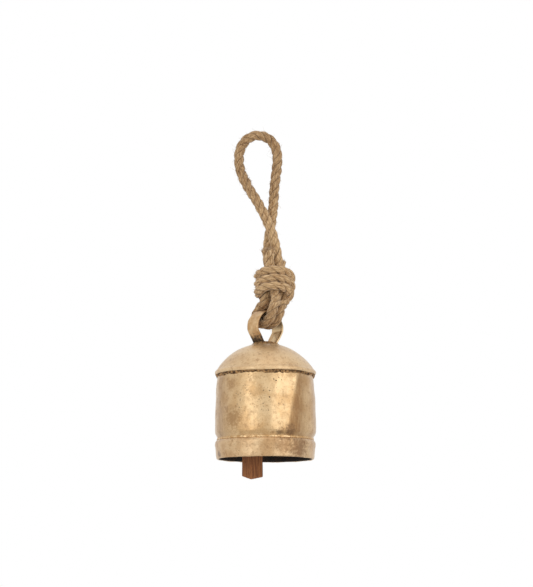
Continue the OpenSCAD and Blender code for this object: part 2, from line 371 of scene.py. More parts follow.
def painted_shade_and_patina_share(s):
    """Painted shade on the body's front, broken into brown tarnish streaks: right of its crease, where the
    panel turns from the light, and toward its left side, as a painted dark reflection.
    """
    x, y, z = s.parts()
    past_crease = s.math("SUBTRACT", x, s.times(z, CREASE_LEAN))
    right = s.times(s.ramp(past_crease, (CREASE_FOOT - 1.8 * MM, CREASE_FOOT + 1.8 * MM)),
                    s.ramp(x, (51 * MM, 36 * MM), (0.1, 1)))
    share = s.math("MAXIMUM", right, s.ramp(x, (-24 * MM, -40 * MM), (0, 0.75)))
    front = s.ramp(y, (-8 * MM, -22 * MM))
    streak = s.streaks(2.5, 14, detail=4, roughness=0.65)
    return s.times(share, front, s.ramp(streak, (0.3, 0.6), (0.55, 1)))


def pinholes(s, fields, share):
    """A few pinholes everywhere, by a share, and more in the fields, each a point and its reach."""
    distance, pick = s.shaken_cells(3, 9, 5)
    chosen = s.ramp(s.add("SeparateColor", {"Color": pick}).outputs[0], (0.4, 0.45))
    where = s.ramp(s.noise(16, detail=2), (0.5, 0.62), (0, share))
    for point, reach in fields:
        where = s.math("MAXIMUM", where, s.ramp(s.near(point, reach), (0, 0.35)))
    return s.times(s.ramp(distance, (0.25, 0.12)), chosen, where)


def brass(name, light, middle, stain, roughness, pits=(), pit_share=0.5, speckle=0.0, smudges=(), painted_shade_and_patina=0.0):
    """Aged satin brass on hammered sheet, with brown stains, pinholes, smudges, and painted shade mixed with
    brown tarnish streaks.
    """
    s = Shader(name)
    clouds = s.noise(24, detail=5, roughness=0.6)
    fine_clouds = s.noise(5, detail=6, roughness=0.7)
    grain = s.noise(1.3, detail=4, roughness=0.7)
    colour = s.mix(s.ramp(clouds, (0.36, 0.62)), middle, light)
    colour = s.mix(s.ramp(fine_clouds, (0.5, 0.74), (0, 0.62)), colour, stain)
    colour = s.mix(s.ramp(grain, (0.52, 0.74), (0, 0.5 + speckle)), colour, stain)
    colour = s.mix(s.ramp(grain, (0.47, 0.26), (0, 0.35 + speckle / 2)), colour, light)
    # Painted shade on the body's front, in the stain colour, mixed with brown tarnish streaks.
    if painted_shade_and_patina:
        colour = s.mix(s.times(painted_shade_and_patina_share(s), painted_shade_and_patina), colour, stain)
    hole = pinholes(s, pits, pit_share)
    colour = s.mix(hole, colour, paint(84, 54, 28))
    ragged = s.times(s.noise(3, detail=6, roughness=0.75), 2.4)
    for point, reach, tone in smudges:
        edge = s.math("ADD", s.near(point, reach), ragged)
        colour = s.mix(s.ramp(edge, (1.45, 2.2), (0, 0.85)), colour, tone)
    rough = s.ramp(fine_clouds, (0.3, 0.75), (roughness - 0.07, roughness + 0.14))
    rough = s.math("ADD", rough, s.times(hole, 0.3))
    normal = s.bump(grain, 0.12, 0.35 + speckle)
    normal = s.bump(s.noise(3.5, detail=3), 0.35, 0.3, normal)
    normal = s.bump(s.times(hole, -1), 0.5, 0.8, normal)
    return s.finish(colour, rough, 1.0, normal, Coat_Weight=0.75, Coat_Roughness=0.3)


def soot_metal():
    """The blackened, rusty inside of the sheet."""
    s = Shader("sooty_inside")
    clouds = s.noise(9, detail=6, roughness=0.65)
    colour = s.mix(s.ramp(clouds, (0.42, 0.66)), paint(20, 15, 12), paint(58, 38, 26))
    rust = s.noise(2.2, detail=4)
    colour = s.mix(s.ramp(rust, (0.6, 0.75), (0, 0.6)), colour, paint(96, 56, 30))
    normal = s.bump(s.noise(1.2, detail=4), 0.3, 0.6)
    return s.finish(colour, s.ramp(clouds, (0.3, 0.7), (0.6, 0.85)), 0.35, normal)


def crust(name, light, dark, size=1.6, metallic=0.5, roughness=0.6):
    """Lumpy braze or scale, bright on its tops and dark in its hollows."""
    s = Shader(name)
    lumps = s.noise(size, detail=5, roughness=0.65)
    colour = s.mix(s.ramp(lumps, (0.38, 0.62)), dark, light)
    colour = s.mix(s.ramp(s.noise(0.5, detail=2), (0.6, 0.8), (0, 0.6)), colour, dark)
    normal = s.bump(lumps, 0.5, 0.8)
    rough = s.ramp(lumps, (0.35, 0.65), (roughness + 0.15, roughness - 0.15))
    return s.finish(colour, rough, metallic, normal)


def strap_metal():
    """Satin brass strip, sooty and in painted shade at its left foot, in painted shade inside its arch, with
    a painted highlight on its right leg, and brown at its edges.
    """
    s = Shader("strap_metal")
    x, _, z = s.parts()
    clouds = s.noise(7, detail=5, roughness=0.6)
    colour = s.mix(s.ramp(clouds, (0.35, 0.65)), paint(200, 158, 110), paint(228, 196, 152))
    scratch = s.streaks(0.5, 6)
    colour = s.mix(s.ramp(scratch, (0.58, 0.75), (0, 0.5)), colour, paint(150, 104, 62))
    colour = s.mix(s.ramp(s.attribute("edge", "Fac"), (0.3, 1), (0, 0.6)), colour, paint(132, 92, 60))
    # Painted highlight lightening the strip's right leg toward +X.
    colour = s.mix(s.ramp(x, (9 * MM, 15 * MM), (0, 0.8)), colour, paint(250, 222, 176))
    # Sooty blackening at the left foot, with painted shade where the strip meets the dome.
    low = s.ramp(z, (-193 * MM, -207 * MM))
    left = s.ramp(x, (7 * MM, 3 * MM))
    patches = s.math("ADD", low, s.times(s.noise(3.2, detail=6, roughness=0.75), 2.6))
    foot_soot_and_shade = s.times(s.ramp(patches, (1.5, 2.25)), left)
    # Painted shade on the inner face of the strip, up inside its arch.
    inner_painted_shade = s.times(s.attribute("inner", "Fac"), s.ramp(z, (-194 * MM, -183 * MM)), 0.9)
    soot_and_shade = s.math("MAXIMUM", foot_soot_and_shade, inner_painted_shade)
    soot_and_shade_tone = s.mix(s.ramp(s.noise(1.6, detail=5), (0.45, 0.7)), paint(24, 17, 12), paint(104, 80, 56))
    colour = s.mix(soot_and_shade, colour, soot_and_shade_tone)
    rough = s.math("ADD", s.ramp(clouds, (0.3, 0.7), (0.34, 0.5)), s.times(soot_and_shade, 0.25))
    metal = s.math("SUBTRACT", 1.0, s.times(soot_and_shade, 0.6))
    normal = s.bump(s.noise(1.4, detail=4), 0.2, 0.4)
    return s.finish(colour, rough, metal, normal)


def wood():
    """Rough-sawn red-brown hardwood, with the grain along the stick."""
    s = Shader("clapper_wood")
    grain = s.streaks(1.1, 22, detail=6, roughness=0.65)
    pores = s.streaks(0.35, 5)
    colour = s.mix(s.ramp(grain, (0.35, 0.65)), paint(116, 68, 40), paint(166, 108, 66))
    colour = s.mix(s.ramp(pores, (0.62, 0.76), (0, 0.55)), colour, paint(66, 38, 24))
    worn = s.noise(7, detail=5, roughness=0.7)
    colour = s.mix(s.ramp(worn, (0.52, 0.75), (0, 0.55)), colour, paint(176, 108, 62))
    saw = s.streaks(14, 0.9, detail=2)
    normal = s.bump(grain, 0.5, 0.6)
    normal = s.bump(pores, 0.3, 0.5, normal)
    normal = s.bump(saw, 0.25, 0.3, normal)
    return s.finish(colour, s.ramp(grain, (0.3, 0.7), (0.7, 0.86)), 0.0, normal, Specular_IOR_Level=0.3)


def paper():
    """The floor's matt paper, with a very faint grain."""
    s = Shader("floor_paper")
    grain = s.ramp(s.noise(60, detail=2), (0.3, 0.7))
    tone = s.mix(grain, (0.92, 0.92, 0.91, 1), (0.9062, 0.9062, 0.89635, 1))
    return s.finish(tone, 0.9)


# The crease in the body's front: its place on the X axis in metres, at the CAD's height 0, and how it leans
CREASE_LEAN = 0.19
CREASE_FOOT = 27.6 * MM + 295 * MM * CREASE_LEAN


# ---- rope
ROPE_R = 5.0
ROPE_LAY = 26.0  # length of one full turn of the strands
ROPE_STEP = 0.7
STRAND_OFFSET = 2.4
STRAND_DEEP, STRAND_WIDE = 2.7, 3.3  # half its size toward the rope's middle, and across
STRAND_SIDES = 30
YARNS = 7
YARN_TURN = 0.38  # radians for each millimetre, against the rope's own lay
ROUTE_FINENESS = 12  # points of the curve for each stretch of the route
FRONT_BRUSH, SIDE_BRUSH = 13, 6  # how far the cut ends are opened out

# The route is the CAD's, in the same round numbers
loop_route = [
    [18.5, -1, -131], [18, -3, -121], [15.7, -4.8, -109], [12.5, -5.8, -97], [8.5, -5.8, -86],
    [2.5, -4.8, -73], [-4, -3, -61], [-12.5, -1.5, -47], [-18.5, -0.5, -34], [-21, 0, -22],
    [-20, 0, -9.5], [-14, 0, 0.5], [-6, 0, 5], [1, 0, 5.2], [9.5, 0, 1.8],
    [15.5, 0, -6], [18, 0, -17], [17, 0.5, -30], [15, 1.5, -47], [14, 3, -61],
    [13, 4.8, -73], [11.5, 5.6, -84], [10, 5.8, -94], [8.5, 6, -105], [7.5, 7, -115],
    [8.5, 8, -124], [9.5, 8.5, -131]]
tail_front_route = [[10.3, -5.3, -131], [9.4, -8.8, -121], [8.4, -10.5, -114]]
tail_side_route = [[20.5, 9.5, -131], [20.5, 9.8, -127], [20, 10, -123]]
bight_front = [[12.3, 1.5, 25.3], [13.4, -2.8, 19.2], [12.3, -4.6, 11.6], [7.6, -5.1, 7.1]]
bight_back = [[12.3, 6.5, 25.3], [13.4, 3, 19.2], [12.3, -2.5, 11.6], [7.6, -5.1, 7.1]]
bight_bottom = [0, -5.1, 5.1]
port_through, port_along, port_gap, port_lead = 7, 5.1, 1.5, 3.5
knot_pivot, knot_under_r = np.array([15, 5, -142]), 20

# Inside the knot: the three strands that pass down its middle
core_front = [[12.5, -0.2, -141], [14.5, -1, -150]]
core_side = [[20.5, 4.5, -141], [21, 5.5, -150]]
core_back = [[9.8, 8.6, -141], [9.2, 7.8, -150]]

# The three wraps: a left-handed climb about the knot's axis, higher at the front
WRAP_R = 15.8
WRAP_START, WRAP_END = 25, -925
WRAP_LOW, WRAP_PITCH, WRAP_RISE = -158.1, 8.2, 4.2
WRAP_TILT = (20, 18)  # degrees, first wrap and last

eye = np.array([5.7, 0, -192.5])
turn = math.radians(45)
through = np.array([math.sin(turn), -math.cos(turn), 0])
along = np.array([math.cos(turn), math.sin(turn), 0])


def bight_point(half, side, lane):
    return eye + side * half[0] * through + (half[1] + (lane + 1) * port_along) * along + [0, 0, half[2]]


def port_at(side, lane, extra):
    flat = side * port_through * through + lane * port_along * along
    down = np.array([0, 0, math.sqrt(knot_under_r**2 - flat @ flat)])
    return knot_pivot + (knot_under_r + port_gap + extra) * unit(flat - down)


def bight_route(lane):
    front = [bight_point(h, 1, lane) for h in bight_front]
    back = [bight_point(h, -1, lane) for h in reversed(bight_back)]
    return [port_at(1, lane, 0), port_at(1, lane, port_lead), *front, bight_point(bight_bottom, 1, lane),
            *back, port_at(-1, lane, port_lead), port_at(-1, lane, 0)]


def wrap_point(angle, radius=WRAP_R):
    """A point of the wraps, by its angle in degrees from +X, which falls as the rope climbs."""
    share = (WRAP_START - angle) / (WRAP_START - WRAP_END)
    tilt = math.radians(WRAP_TILT[0] + (WRAP_TILT[1] - WRAP_TILT[0]) * share)
    x, y = radius * math.cos(math.radians(angle)), radius * math.sin(math.radians(angle))
    climb = WRAP_LOW + WRAP_PITCH * (WRAP_START - angle) / 360
    z = climb - y * math.tan(tilt) + x * math.tan(math.radians(WRAP_RISE))
    return [knot_pivot[0] + x, knot_pivot[1] + y, z]


def rope_route():
    """The whole rope from the cut end in front to the one at the side, and where its wraps begin and end."""
    before = [*reversed(tail_front_route), *core_front, *bight_route(-1), *reversed(core_back),
              *reversed(loop_route), *core_side, *bight_route(1)]
    wraps = [wrap_point(WRAP_START + 38, WRAP_R - 4), wrap_point(WRAP_START, WRAP_R - 2.2),
             wrap_point(WRAP_START - 30, WRAP_R - 1),
             *(wrap_point(angle) for angle in range(WRAP_START - 60, WRAP_END, -30)),
             wrap_point(WRAP_END - 30, WRAP_R - 1.5), wrap_point(WRAP_END - 60, WRAP_R - 5)]
    first, last = len(before), len(before) + len(wraps)
    return [*before, *wraps, *tail_side_route], first, last


def rope_line():
    """The rope's middle line, and a share along it that is 1 in the wraps, where the rope is flattened."""
    route, first, last = rope_route()
    fine = through_points(route, ROUTE_FINENESS)
    wrapped = np.zeros(len(fine))
    wrapped[first * ROUTE_FINENESS:last * ROUTE_FINENESS] = 1
    line = evenly(fine, ROPE_STEP)
    passed = distances(fine)
    flat = np.interp(np.linspace(0, passed[-1], len(line)), passed, wrapped)
    return softened(line, 24), softened(flat[:, None], 60)[:, 0]


def rope_rings(line, flat):
    """Rings of the three strands, with the coordinates that the jute material reads."""
    heading, side, other = carried_sides(line)
    s = distances(line)
    brush = np.clip(1 - s / FRONT_BRUSH, 0, 1) ** 2 + np.clip(1 - (s[-1] - s) / SIDE_BRUSH, 0, 1) ** 2
    around = np.linspace(0, 2 * math.pi, STRAND_SIDES, endpoint=False)[None, :]
    strands = []
    for strand in range(3):
        angle = 2 * math.pi * (s / ROPE_LAY + strand / 3)
        out = np.cos(angle)[:, None] * side + np.sin(angle)[:, None] * other
        beside = np.cross(heading, out)
        uneven = 1 + ripples(line, (0.05, 14, 40 + strand), (0.03, 5, 50 + strand))
        yarn = around + (YARN_TURN * s)[:, None] + strand
        relief = 1 + (0.045 + 0.17 * brush)[:, None] * np.cos(YARNS * yarn)
        relief = relief * (1 + 0.12 * brush)[:, None]
        deep = STRAND_DEEP * uneven[:, None] * relief * np.cos(around)
        wide = STRAND_WIDE * uneven[:, None] * relief * np.sin(around)
        offset = (STRAND_OFFSET + 1.2 * brush)[:, None, None] * out[:, None, :]
        away = offset + deep[..., None] * out[:, None, :] + wide[..., None] * beside[:, None, :]
        away[..., 2] *= 1 - 0.13 * flat[:, None]
        away[..., :2] *= 1 + 0.04 * flat[:, None, None]
        fibre = np.stack([2.5 * np.cos(yarn), 2.5 * np.sin(yarn), s[:, None] + 61 * strand + 0 * yarn], -1)
        strands.append((line[:, None, :] + away, fibre, np.linalg.norm(away, axis=-1) / ROPE_R, away))
    return strands, heading


def hairs(roots, ways, bends, lengths, thickness):
    """Closed three-sided hairs that taper to a point, and how many mesh points each one has."""
    rows = 4
    side = unit(np.cross(ways, [0.3, 0.5, 0.8]))
    other = np.cross(unit(ways), side)
    points, faces = [], []
    share = np.linspace(0, 1, rows + 1)
    for i in range(rows):
        middle = roots + lengths[:, None] * (share[i] * ways + share[i] ** 2 * bends)
        width = thickness[:, None] * (1 - 0.7 * share[i])
        points += [middle + width * (math.cos(a) * side + math.sin(a) * other)
                   for a in (0, 2 * math.pi / 3, 4 * math.pi / 3)]
    points.append(roots + lengths[:, None] * (ways + bends))
    stacked = np.stack(points, 1).reshape(-1, 3)
    each = rows * 3 + 1
    pattern = [(i * 3 + k, i * 3 + (k + 1) % 3, i * 3 + 3 + (k + 1) % 3, i * 3 + 3 + k)
               for i in range(rows - 1) for k in range(3)]
    last = (rows - 1) * 3
    tips = [(last + k, last + (k + 1) % 3, each - 1) for k in range(3)] + [(2, 1, 0)]
    for hair in range(len(roots)):
        faces += [tuple(hair * each + corner for corner in face) for face in pattern + tips]
    return stacked, faces, each


def make_rope(material):
    line, flat = rope_line()
    strands, heading = rope_rings(line, flat)
    points, faces, fibre, hollow = [], [], [], []
    count = 0
    for rings, along_fibre, depth, _ in strands:
        strand_points, strand_faces = tube(rings, count)
        points.append(strand_points)
        faces += strand_faces
        fibre.append(np.vstack([along_fibre.reshape(-1, 3), along_fibre[0].mean(0), along_fibre[-1].mean(0)]))
        hollow.append(np.concatenate([depth.ravel(), [0.8, 0.8]]))
        count += len(strand_points)
    rope = new_piece("rope", np.vstack(points), faces, [material],
                     attributes={"fibre": np.vstack(fibre), "hollow": np.concatenate(hollow)})
    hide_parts("rope_loop", "rope_knot", "rope_tail_front", "rope_tail_side",
                "rope_bight_near", "rope_bight_far")
    make_fuzz(strands, heading, material)
    return rope


def stray_hairs(draw, strands, heading):
    """Fibres that stand off all along the rope, each a root, way, bend, length and thickness."""
    for row in draw.integers(0, len(heading), STRAY_COUNT):
        rings, _, depth, away = strands[draw.integers(3)]
        k = draw.integers(STRAND_SIDES)
        if depth[row, k] < 0.8:
            continue
        normal = unit(away[row, k])
        lean = draw.choice([-1, 1]) * draw.uniform(0.5, 1.6)
        way = unit(normal * draw.uniform(0.25, 1) + lean * heading[row] + draw.normal(0, 0.35, 3))
        yield (rings[row, k] - 0.15 * normal, way, draw.normal(0, 0.4, 3),
               draw.gamma(2.2, 0.85), draw.uniform(0.07, 0.14))


def snagged_hairs(draw, strands, heading):
    """The tuft where the rope was snagged, on the side that faces right."""
    centres = np.mean([rings.mean(1) for rings, _, _, _ in strands], 0)
    rows = np.flatnonzero(np.linalg.norm(centres - SNAG, axis=1) < SNAG_REACH)
    for row in draw.choice(rows, SNAG_COUNT):
        rings, _, _, away = strands[draw.integers(3)]
        k = draw.integers(STRAND_SIDES)
        normal = unit(away[row, k])
        if normal[0] < 0.3:
            continue
        way = unit(normal + 0.7 * heading[row] * draw.choice([-1, 1]) + draw.normal(0, 0.25, 3))
        yield (rings[row, k] - 0.3 * normal, way, draw.normal(0, 0.5, 3),
               draw.uniform(1.2, 3), draw.uniform(0.14, 0.28))


def end_hairs(draw, strands, heading):
    """The brush of fibres at each cut end."""
    for end, out in ((0, -heading[0]), (-1, heading[-1])):
        for _ in range(BRUSH_COUNT):
            rings, _, _, away = strands[draw.integers(3)]
            k = draw.integers(STRAND_SIDES)
            middle = rings[end].mean(0)
            root = middle + (rings[end, k] - middle) * math.sqrt(draw.uniform(0, 1))
            way = unit(out + 0.28 * unit(away[end, k]) * draw.uniform(0, 1) + draw.normal(0, 0.12, 3))
            yield root - out, way, draw.normal(0, 0.15, 3), draw.uniform(1.5, 4.6), draw.uniform(0.09, 0.2)


def make_fuzz(strands, heading, material):
    """Every loose fibre of the rope, as one piece."""
    draw = np.random.default_rng(7)
    drawn = [*stray_hairs(draw, strands, heading), *snagged_hairs(draw, strands, heading),
             *end_hairs(draw, strands, heading)]
    points, faces, each = hairs(*(np.array(column) for column in zip(*drawn)))
    tone = np.repeat(draw.uniform(0, 400, len(drawn)), each)
    fibre = np.stack([0 * tone, 0 * tone, tone], -1)
    fuzz = new_piece("rope_fuzz", points, faces, [material],
                     attributes={"fibre": fibre, "hollow": np.ones(len(points))})
    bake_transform(fuzz)


STRAY_COUNT, SNAG_COUNT, BRUSH_COUNT = 6800, 260, 260
SNAG, SNAG_REACH = (-12.5, 0, -41), 4.5

make_camera()
jute_material = jute()
rope = make_rope(jute_material)
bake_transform(rope)


# ---- bell
# Heights are from the strap eye's centre, as in the CAD source.
BODY_R, BODY_WALL, WAIST_R, SKIRT_R = 50, 1.2, 47.4, 47.2
CROWN_R, CROWN_WALL, LIP_R, BAND_R = 56.5, 1.4, 50.2, 49.7
CROWN_TOP, CROWN_BASE, LIP_BOTTOM, BODY_TOP = -14.2, -41.4, -45.9, -42.6
DOME_EDGE_R, DOME_MOUTH_R = 47.6, 46.4
BULGE_Z, BULGE_DROP, BULGE_INSET = -92, 47, 2.6
SHOULDER_Z, WAIST_Z, RIM_Z = -103, -109.4, -129.7
SEGMENTS = 320
PANEL_WIDTH, PANEL_DEPTH = math.radians(25), 0.7125
SEAM_AT = math.radians(168)
CRUST_DROP = 2.4  # how far the crown's braze reaches under the lip


def wall_r(z):
    return BODY_R - BULGE_INSET * ((z - BULGE_Z) / BULGE_DROP) ** 2


def dome_z(r, shell=0.0):
    """Height of the crown's outer face at a distance from the axis, or of a face that far beneath it."""
    return CROWN_TOP - CROWN_R + np.sqrt(np.maximum((CROWN_R - shell) ** 2 - r**2, 0))


def signed(angle):
    """Angles round the bell from the front, -pi to pi, rising to the right."""
    return (angle + math.pi) % (2 * math.pi) - math.pi


def inset(radius, rows):
    """Outline points from rows of distance in from a radius, and height."""
    return [[radius - inward, z] for inward, z in rows]


def shell_piece(name, outer, inner, materials, radial=None, lift=None, step=0.9, segments=SEGMENTS):
    """A turned shell: its outer line wears the first material, its inner line the last one."""
    outside, inside = evenly(outer, step), evenly(inner, 1.6 * step)
    outline = softened(np.vstack([outside, inside]), 1, closed=True)
    rings = lathe(outline, segments, radial, lift) + eye
    columns = np.tile(np.arange(len(outline)) >= len(outside), segments)
    faces = ring_faces(segments, len(outline), looped=True)
    return new_piece(name, rings.reshape(-1, 3), faces, materials, columns * (len(materials) - 1))


def body_dents(angle, radius, height):
    """Hammered unevenness, a flat panel up to a crease right of the front, and a lapped seam behind."""
    place = on_cylinder(angle, BODY_R, height)
    wave = ripples(place, (0.5, 48, 1), (0.2, 17, 2), (0.06, 7, 3))
    bearing = signed(angle)
    share = np.clip((height - SHOULDER_Z) / (LIP_BOTTOM - SHOULDER_Z), 0, 1)
    crease = np.radians(26 + 15 * share**1.6)
    across = np.clip((bearing - crease) / PANEL_WIDTH + 1, 0, 1)
    panel = PANEL_DEPTH * 6.75 * across * across * (1 - across)  # 6.75 brings the curve's peak to 1
    dent = 0.45 * np.exp(-((bearing + math.radians(19)) / 0.17) ** 2 - ((height + 94) / 16) ** 2)
    past_seam = bearing - SEAM_AT - 0.01 * np.sin(height / 9)
    seam = 0.55 * smooth_step(0, 0.012, past_seam) * smooth_step(0.22, 0, past_seam)
    fade = smooth_step(LIP_BOTTOM, LIP_BOTTOM - 7, height)
    fade = fade * smooth_step(SHOULDER_Z - 5, SHOULDER_Z + 3, height)
    seam_fade = smooth_step(WAIST_Z, SHOULDER_Z, height) * (height < LIP_BOTTOM)
    return fade * (wave - panel - dent) + seam_fade * seam


def make_body(skin, inside):
    z = np.linspace(BODY_TOP, SHOULDER_Z, 70)
    u = np.linspace(0, 1, 14)[1:]
    roll = WAIST_R + (wall_r(SHOULDER_Z) - WAIST_R) * (1 + np.cos(math.pi * u)) / 2
    outer = np.vstack([np.stack([wall_r(z), z], 1),
                       np.stack([roll, SHOULDER_Z + (WAIST_Z - SHOULDER_Z) * u], 1),
                       [[SKIRT_R, WAIST_Z - 0.8], [SKIRT_R, RIM_Z]]])
    body = shell_piece("bell_body", outer, outer[::-1] - [BODY_WALL, 0], [skin, inside], body_dents)
    attach(body, "bell", "bell_brass", "body_shell")


def make_crown(skin, inside):
    """The cap: a dome, its lip turned down over the body, and the same line a wall further in."""
    spread = np.linspace(0, DOME_EDGE_R, 60)
    under = np.linspace(DOME_MOUTH_R, 0, 60)
    lip = inset(LIP_R, [(0.7, CROWN_BASE - 0.6), (0.1, CROWN_BASE - 1.4), (0, CROWN_BASE - 2.6),
                        (0.3, LIP_BOTTOM + 0.5), (0.9, LIP_BOTTOM)])
    turned = inset(LIP_R, [(1.9, LIP_BOTTOM + 0.1), (2.1, LIP_BOTTOM + 1), (2.2, BODY_TOP + 0.2)])
    outer = np.vstack([np.stack([spread, dome_z(spread)], 1), lip])
    inner = np.vstack([turned, [[DOME_MOUTH_R, BODY_TOP + 0.2]],
                       np.stack([under, dome_z(under, CROWN_WALL)], 1)])

    def out(angle, radius, height):
        place = on_cylinder(angle, BODY_R, height)
        return smooth_step(38, 48, radius) * ripples(place, (0.22, 26, 11), (0.1, 8, 12))

    def up(angle, radius, height):
        place = on_cylinder(angle, radius, 0 * height)
        dome = smooth_step(14, 22, radius) * (1 - smooth_step(44, 48, radius))
        return (dome * ripples(place, (0.3, 30, 13), (0.07, 9, 16))
                + smooth_step(44, 49, radius) * ripples(place, (0.3, 22, 14), (0.12, 9, 15)))

    crown = shell_piece("bell_crown", outer, inner, [skin, inside], out, up)
    attach(crown, "bell", "bell_brass", "crown_dome")


def make_crown_braze(material):
    """The crust under the lip: a lumpy fillet whose lower edge wanders."""
    low, full = LIP_BOTTOM - CRUST_DROP, LIP_BOTTOM - 1.6
    outer = np.array([[wall_r(LIP_BOTTOM) + 0.3, LIP_BOTTOM + 0.4], [LIP_R - 0.9, LIP_BOTTOM - 0.1],
                      [wall_r(full) + 0.9, full], [wall_r(low) + 0.2, low]])
    inner = np.array([[wall_r(low) - 0.5, low + 0.1], [wall_r(LIP_BOTTOM) - 0.4, LIP_BOTTOM + 0.4]])

    def out(angle, radius, height):
        lumps = ripples(on_cylinder(angle, BODY_R, height), (0.42, 3.2, 21), (0.3, 1.7, 22)) - 0.1
        return np.clip(radius - wall_r(height) + 0.1, 0, 1) * lumps

    def up(angle, radius, height):
        wander = ripples(on_cylinder(angle, BODY_R, 0 * height), (1.3, 14, 23), (0.9, 5, 24))
        return np.clip((LIP_BOTTOM - height) / CRUST_DROP, 0, 1) * np.clip(wander, -1.5, 1.7)

    piece = shell_piece("crown_crust", outer, inner, [material], out, up, step=0.35, segments=720)
    attach(piece, "bell", "braze", "crown_braze")


def make_rim_braze(material):
    """The seam of braze in the groove above the rim band."""
    outer = np.array([[WAIST_R - 0.2, WAIST_Z + 0.9], [WAIST_R + 0.5, WAIST_Z - 0.1],
                      [SKIRT_R + 0.9, WAIST_Z - 1.7]])
    inner = np.array([[SKIRT_R - 0.4, WAIST_Z - 1.7], [SKIRT_R - 0.4, WAIST_Z + 0.7]])

    def out(angle, radius, height):
        lumps = ripples(on_cylinder(angle, BODY_R, height), (0.18, 4, 31), (0.14, 1.8, 32))
        return np.clip(radius - SKIRT_R + 0.2, 0, 1) * lumps

    piece = shell_piece("rim_seam", outer, inner, [material], out, step=0.35, segments=560)
    attach(piece, "bell", "braze", "rim_braze")


def make_band(skin):
    """The hoop about the mouth, whose outer face is full near its top and leans in to the rim."""
    top = WAIST_Z - 1.4
    face = inset(BAND_R, [(0.5, -112.8), (0.1, -114), (0, -115.5), (0.1, -117.2), (0.5, -119.2),
                          (0.8, -122.4), (1.2, -126.4), (1.7, RIM_Z + 0.4), (2, RIM_Z)])
    outer = np.array([[SKIRT_R + 0.7, top], *face])
    inner = np.array([[SKIRT_R, RIM_Z], [SKIRT_R, top]])

    def out(angle, radius, height):
        waves = ripples(on_cylinder(angle, BODY_R, height), (0.22, 34, 41), (0.16, 11, 42), (0.06, 4, 43))
        return np.clip(radius - SKIRT_R, 0, 1) * (waves + 0.12)

    def up(angle, radius, height):
        place = on_cylinder(angle, BODY_R, 0 * height)
        return smooth_step(RIM_Z + 6, RIM_Z, height) * ripples(place, (0.22, 18, 44), (0.12, 5, 45))

    attach(shell_piece("rim_hoop", outer, inner, [skin], out, up, step=0.6), "bell", "bell_brass", "rim_band")


# ---- strap and mound
STRAP_MID_R, STRAP_HALF, STRAP_THICK = 17.5, 7.75, 2.0
HIP_R, LEG_LEAN, LEG_LENGTH = 5, 34, 15.8
ANKLE_R, FOOT_DIP, FOOT_LENGTH = 1.6, 15, 7
FACE_POINTS = 19
MOUND_R, MOUND_H = 14.2, 0.9


def toward(degrees):
    return np.array([math.cos(math.radians(degrees)), math.sin(math.radians(degrees))])


def strap_half_line():
    """The right half of the strip's middle line, from its apex to the tip of its foot."""
    hip = np.array([STRAP_MID_R - HIP_R, 0])
    leg_top = hip + HIP_R * toward(-LEG_LEAN)
    leg_end = leg_top - LEG_LENGTH * toward(90 - LEG_LEAN)
    ankle = leg_end + ANKLE_R * toward(-LEG_LEAN)
    foot = ankle - ANKLE_R * toward(90 - FOOT_DIP)
    tip = foot + FOOT_LENGTH * toward(-FOOT_DIP)
    return np.vstack([arc((0, 0), STRAP_MID_R, 90, 0, 30), arc(hip, HIP_R, 0, -LEG_LEAN, 8)[1:],
                      arc(ankle, ANKLE_R, 180 - LEG_LEAN, 270 - FOOT_DIP, 8), [tip]])


def make_strap(material):
    """The bent strip: at each point of its line, an outline with rounded and slightly wavy edges."""
    half = strap_half_line()
    flat = evenly(np.vstack([(half * [-1, 1])[::-1], half[1:]]), 0.8)
    heading = unit(np.gradient(flat, axis=0))
    normal = np.stack([-heading[:, 1], heading[:, 0]], 1)
    across = np.concatenate([np.linspace(-1, 1, FACE_POINTS), np.linspace(1, -1, FACE_POINTS)])
    face = np.repeat([1.0, -1.0], FACE_POINTS)
    near_edge = np.clip((np.abs(across) - 0.9) / 0.1, 0, 1)
    round_off = np.sqrt(np.clip(1 - near_edge**2, 0.16, 1))
    rings = []
    for p, n in zip(flat, normal):
        centre = eye + p[0] * along + [0, 0, p[1]]
        out = n[0] * along + [0, 0, n[1]]
        here = centre + across[:, None] * STRAP_HALF * through
        wide = across * (STRAP_HALF - 0.1 + ripples(here, (0.25, 9, 63)))
        thick = face * STRAP_THICK / 2 * round_off + ripples(here, (0.2, 13, 61), (0.06, 4, 62))
        rings.append(centre + wide[:, None] * through + thick[:, None] * out)
    points, faces = tube(np.array(rings))
    edge = np.concatenate([np.tile(smooth_step(0.84, 1.0, np.abs(across)), len(rings)), [0, 0]])
    inner = np.concatenate([np.tile(face < 0, len(rings)), [0, 0]]).astype(float)
    strap = new_piece("strap", points, faces, [material], attributes={"edge": edge, "inner": inner})
    attach(strap, "bell", "strap_brass", "strap_handle")


def make_mound(material):
    """The low plateau of braze about the strap's feet, which thins out over the crown."""
    r = np.linspace(0, MOUND_R, 30)
    top = np.maximum(dome_z(r) - 0.25, CROWN_TOP + MOUND_H - 2.6 * smooth_step(10.8, MOUND_R, r))
    outer = np.stack([r, top], 1)
    inner = np.stack([r[::-1], dome_z(r[::-1]) - 0.7], 1)

    def out(angle, radius, height):
        place = on_cylinder(angle, 12, 0 * height)
        return smooth_step(8, 13, radius) * ripples(place, (0.8, 12, 71), (0.35, 4.5, 72))

    def up(angle, radius, height):
        place = on_cylinder(angle, radius, 0 * height)
        above = np.clip((height - dome_z(radius)) / 0.4, 0, 1)
        return above * ripples(place, (0.25, 7, 73), (0.15, 2.6, 74))

    mound = shell_piece("strap_braze", outer, inner, [material], out, up, step=0.45, segments=160)
    attach(mound, "bell", "braze", "handle_braze")


